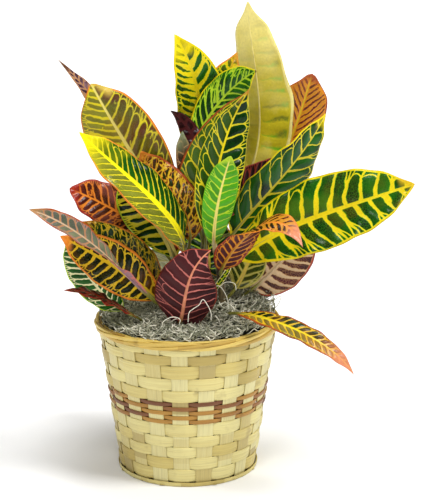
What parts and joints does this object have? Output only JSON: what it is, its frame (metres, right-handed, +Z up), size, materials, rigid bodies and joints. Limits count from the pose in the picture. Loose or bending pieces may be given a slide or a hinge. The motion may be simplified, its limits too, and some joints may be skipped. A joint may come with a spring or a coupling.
{
  "type": "potted croton",
  "caption": "Croton with long leathery variegated leaves on upright stems, potted in a round woven bamboo basket dressed with grey moss.",
  "frame": {"origin": "centre of the basket's underside, on the floor", "axes": "+Z up through the basket, -Y toward the front of the plant as it is seen in the picture, +X to the right of that view"},
  "size_m": [0.3524, 0.2233, 0.4506],
  "materials": {
    "bamboo_straw": "satin split bamboo, straw coloured",
    "bamboo_gold": "satin bamboo, golden",
    "bamboo_brown": "satin bamboo, stained brown",
    "pot_plastic": "matte black nursery pot",
    "soil": "crumbly peat mix",
    "moss": "dry grey-green curled strands",
    "stem": "matte grey-brown bark",
    "leaf_pale_yellow": "soft satin leaf",
    "leaf_gold": "glossy leaf, gold over green",
    "leaf_bright_green": "glossy leaf, fresh green",
    "leaf_dark_green": "glossy leaf, dark green with yellow veins",
    "leaf_olive": "glossy leaf, olive with gold veins",
    "leaf_orange": "glossy leaf, orange with dark islands",
    "leaf_red": "glossy leaf, brick red",
    "leaf_maroon": "satin leaf underside, maroon",
    "leaf_mauve": "satin leaf underside, mauve and beige"
  },
  "bodies": {
    "root": {"accent_cane_1": "bamboo_brown", "accent_cane_2": "bamboo_brown", "accent_cane_3": "bamboo_brown", "accent_cane_4": "bamboo_brown", "accent_cane_5": "bamboo_brown", "base_hoop": "bamboo_straw", "basket_base_and_stakes": "bamboo_straw", "grow_pot": "pot_plastic", "leaf_arching_orange": "leaf_orange", "leaf_beige_low_right": "leaf_mauve", "leaf_brown_sliver": "leaf_mauve", "leaf_burgundy_front": "leaf_maroon", "leaf_centre_dark": "leaf_dark_green", "leaf_centre_olive": "leaf_olive", "leaf_drooping_right": "leaf_orange", "leaf_gold_behind": "leaf_gold", "leaf_gold_upper_left": "leaf_gold", "leaf_green_low_left": "leaf_dark_green", "leaf_long_left": "leaf_mauve", "leaf_maroon_behind": "leaf_maroon", "leaf_maroon_tip": "leaf_maroon", "leaf_mottled_left": "leaf_olive", "leaf_narrow_green": "leaf_dark_green", "leaf_netted_green": "leaf_bright_green", "leaf_new_lime": "leaf_bright_green", "leaf_olive_left": "leaf_olive", "leaf_olive_low_right": "leaf_olive", "leaf_orange_edged": "leaf_orange", "leaf_orange_left": "leaf_orange", "leaf_orange_right": "leaf_orange", "leaf_rear_low_left": "leaf_red", "leaf_rear_low_right": "leaf_olive", "leaf_rear_middle": "leaf_dark_green", "leaf_rear_upper_left": "leaf_dark_green", "leaf_rear_upper_right": "leaf_orange", "leaf_red_edge_on": "leaf_red", "leaf_red_left": "leaf_red", "leaf_right_big": "leaf_dark_green", "leaf_right_upper": "leaf_dark_green", "leaf_striped_left": "leaf_olive", "leaf_tall_pale": "leaf_pale_yellow", "leaf_thin_tip_left": "leaf_mauve", "leaf_yellow_front_left": "leaf_gold", "moss": "moss", "potting_soil": "soil", "rim_hoop_inner": "bamboo_gold", "rim_hoop_outer": "bamboo_gold", "stem_back": "stem", "stem_left": "stem", "stem_right": "stem", "weaver_01": "bamboo_straw", "weaver_02": "bamboo_straw", "weaver_03": "bamboo_straw", "weaver_04": "bamboo_straw", "weaver_05": "bamboo_straw", "weaver_06": "bamboo_straw", "weaver_07": "bamboo_straw", "weaver_08": "bamboo_straw", "weaver_09": "bamboo_straw", "weaver_10": "bamboo_straw"}
  },
  "joints": []
}
